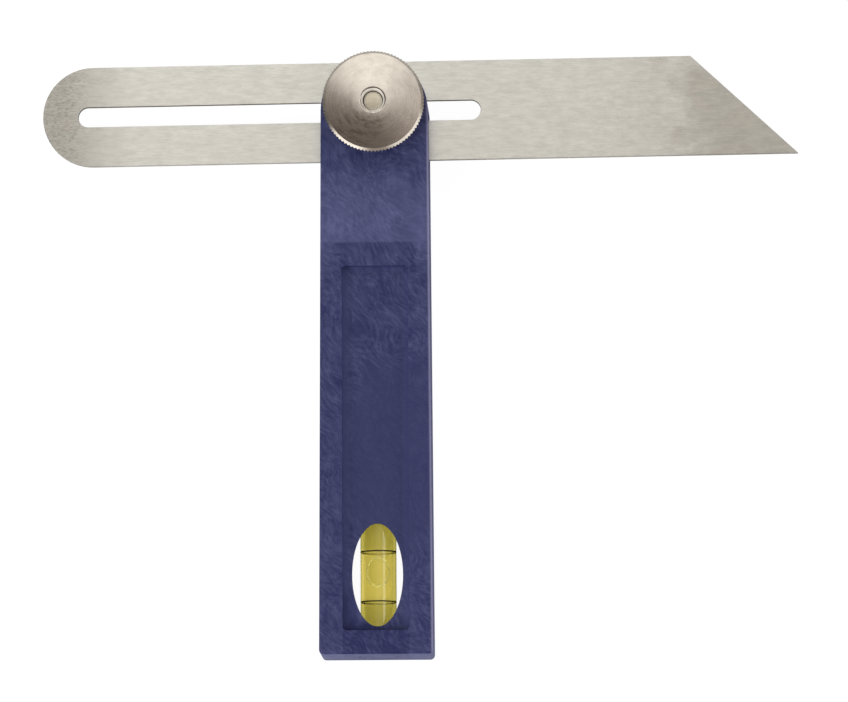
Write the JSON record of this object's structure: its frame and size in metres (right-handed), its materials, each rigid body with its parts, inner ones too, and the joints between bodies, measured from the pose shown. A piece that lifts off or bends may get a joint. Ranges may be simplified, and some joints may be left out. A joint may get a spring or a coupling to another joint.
{
  "type": "sliding bevel",
  "caption": "Sliding bevel with a slotted steel blade, a knurled thumb nut and a forked plastic handle that carries a spirit vial.",
  "frame": {"origin": "on the clamp bolt's axis, in the plane of the handle's flat back", "axes": "+Z out of the thumb nut's face, -Y along the handle to its foot, +X along the blade to its angled tip"},
  "size_m": [0.2031, 0.1615, 0.0292],
  "materials": {
    "handle_plastic": "satin moulded plastic with faint lighter flow streaks",
    "blade_steel": "brushed along the blade",
    "nut_nickel": "nickel plate over fine turning marks",
    "bolt_steel": "bright zinc plate",
    "washer_nylon": "natural nylon",
    "vial_clear": "clear acrylic",
    "vial_liquid": "yellow-green liquid",
    "vial_air": "clear",
    "ring_black": "black",
    "cushion_rubber": "matt"
  },
  "bodies": {
    "handle": {"handle_body": "handle_plastic", "clamp_bolt": "bolt_steel", "vial_tube": "vial_clear", "vial_liquid": "vial_liquid", "vial_upper_ring": "ring_black", "vial_lower_ring": "ring_black", "vial_upper_cap": "vial_clear", "vial_lower_cap": "vial_clear", "vial_cushion": "cushion_rubber", "end_plug": "handle_plastic"},
    "blade_washers": {"front_blade_washer": "washer_nylon", "back_blade_washer": "washer_nylon"},
    "blade": {"blade": "blade_steel"},
    "nut_washer": {"nut_washer": "bolt_steel"},
    "thumb_nut": {"thumb_nut": "nut_nickel"},
    "bubble": {"vial_bubble": "vial_air"}
  },
  "joints": [
    {"name": "blade_pivot", "type": "hinge", "parent": "handle", "child": "blade_washers", "pos_m": [0, 0, 0.0096], "axis": [0, 0, 1], "range_deg": [-75, 253]},
    {"name": "blade_slide", "type": "slide", "parent": "blade_washers", "child": "blade", "axis": [0.9999, 0.0108, 0], "range_m": [-0.015, 0.0773]},
    {"name": "nut_travel", "type": "slide", "parent": "handle", "child": "nut_washer", "axis": [0, 0, 1], "range_m": [0, 0.004]},
    {"name": "nut_turn", "type": "hinge", "parent": "nut_washer", "child": "thumb_nut", "pos_m": [0, 0, 0.0206], "axis": [0, 0, 1], "range_deg": [0, 1800]},
    {"name": "bubble_travel", "type": "slide", "parent": "handle", "child": "bubble", "axis": [0, 1, 0], "range_m": [-0.011, 0.0085], "stiffness_N_per_m": 5}
  ],
  "couplings": [
    {"joint": "nut_turn", "follows": "nut_travel", "rad_per_m": 7854}
  ]
}
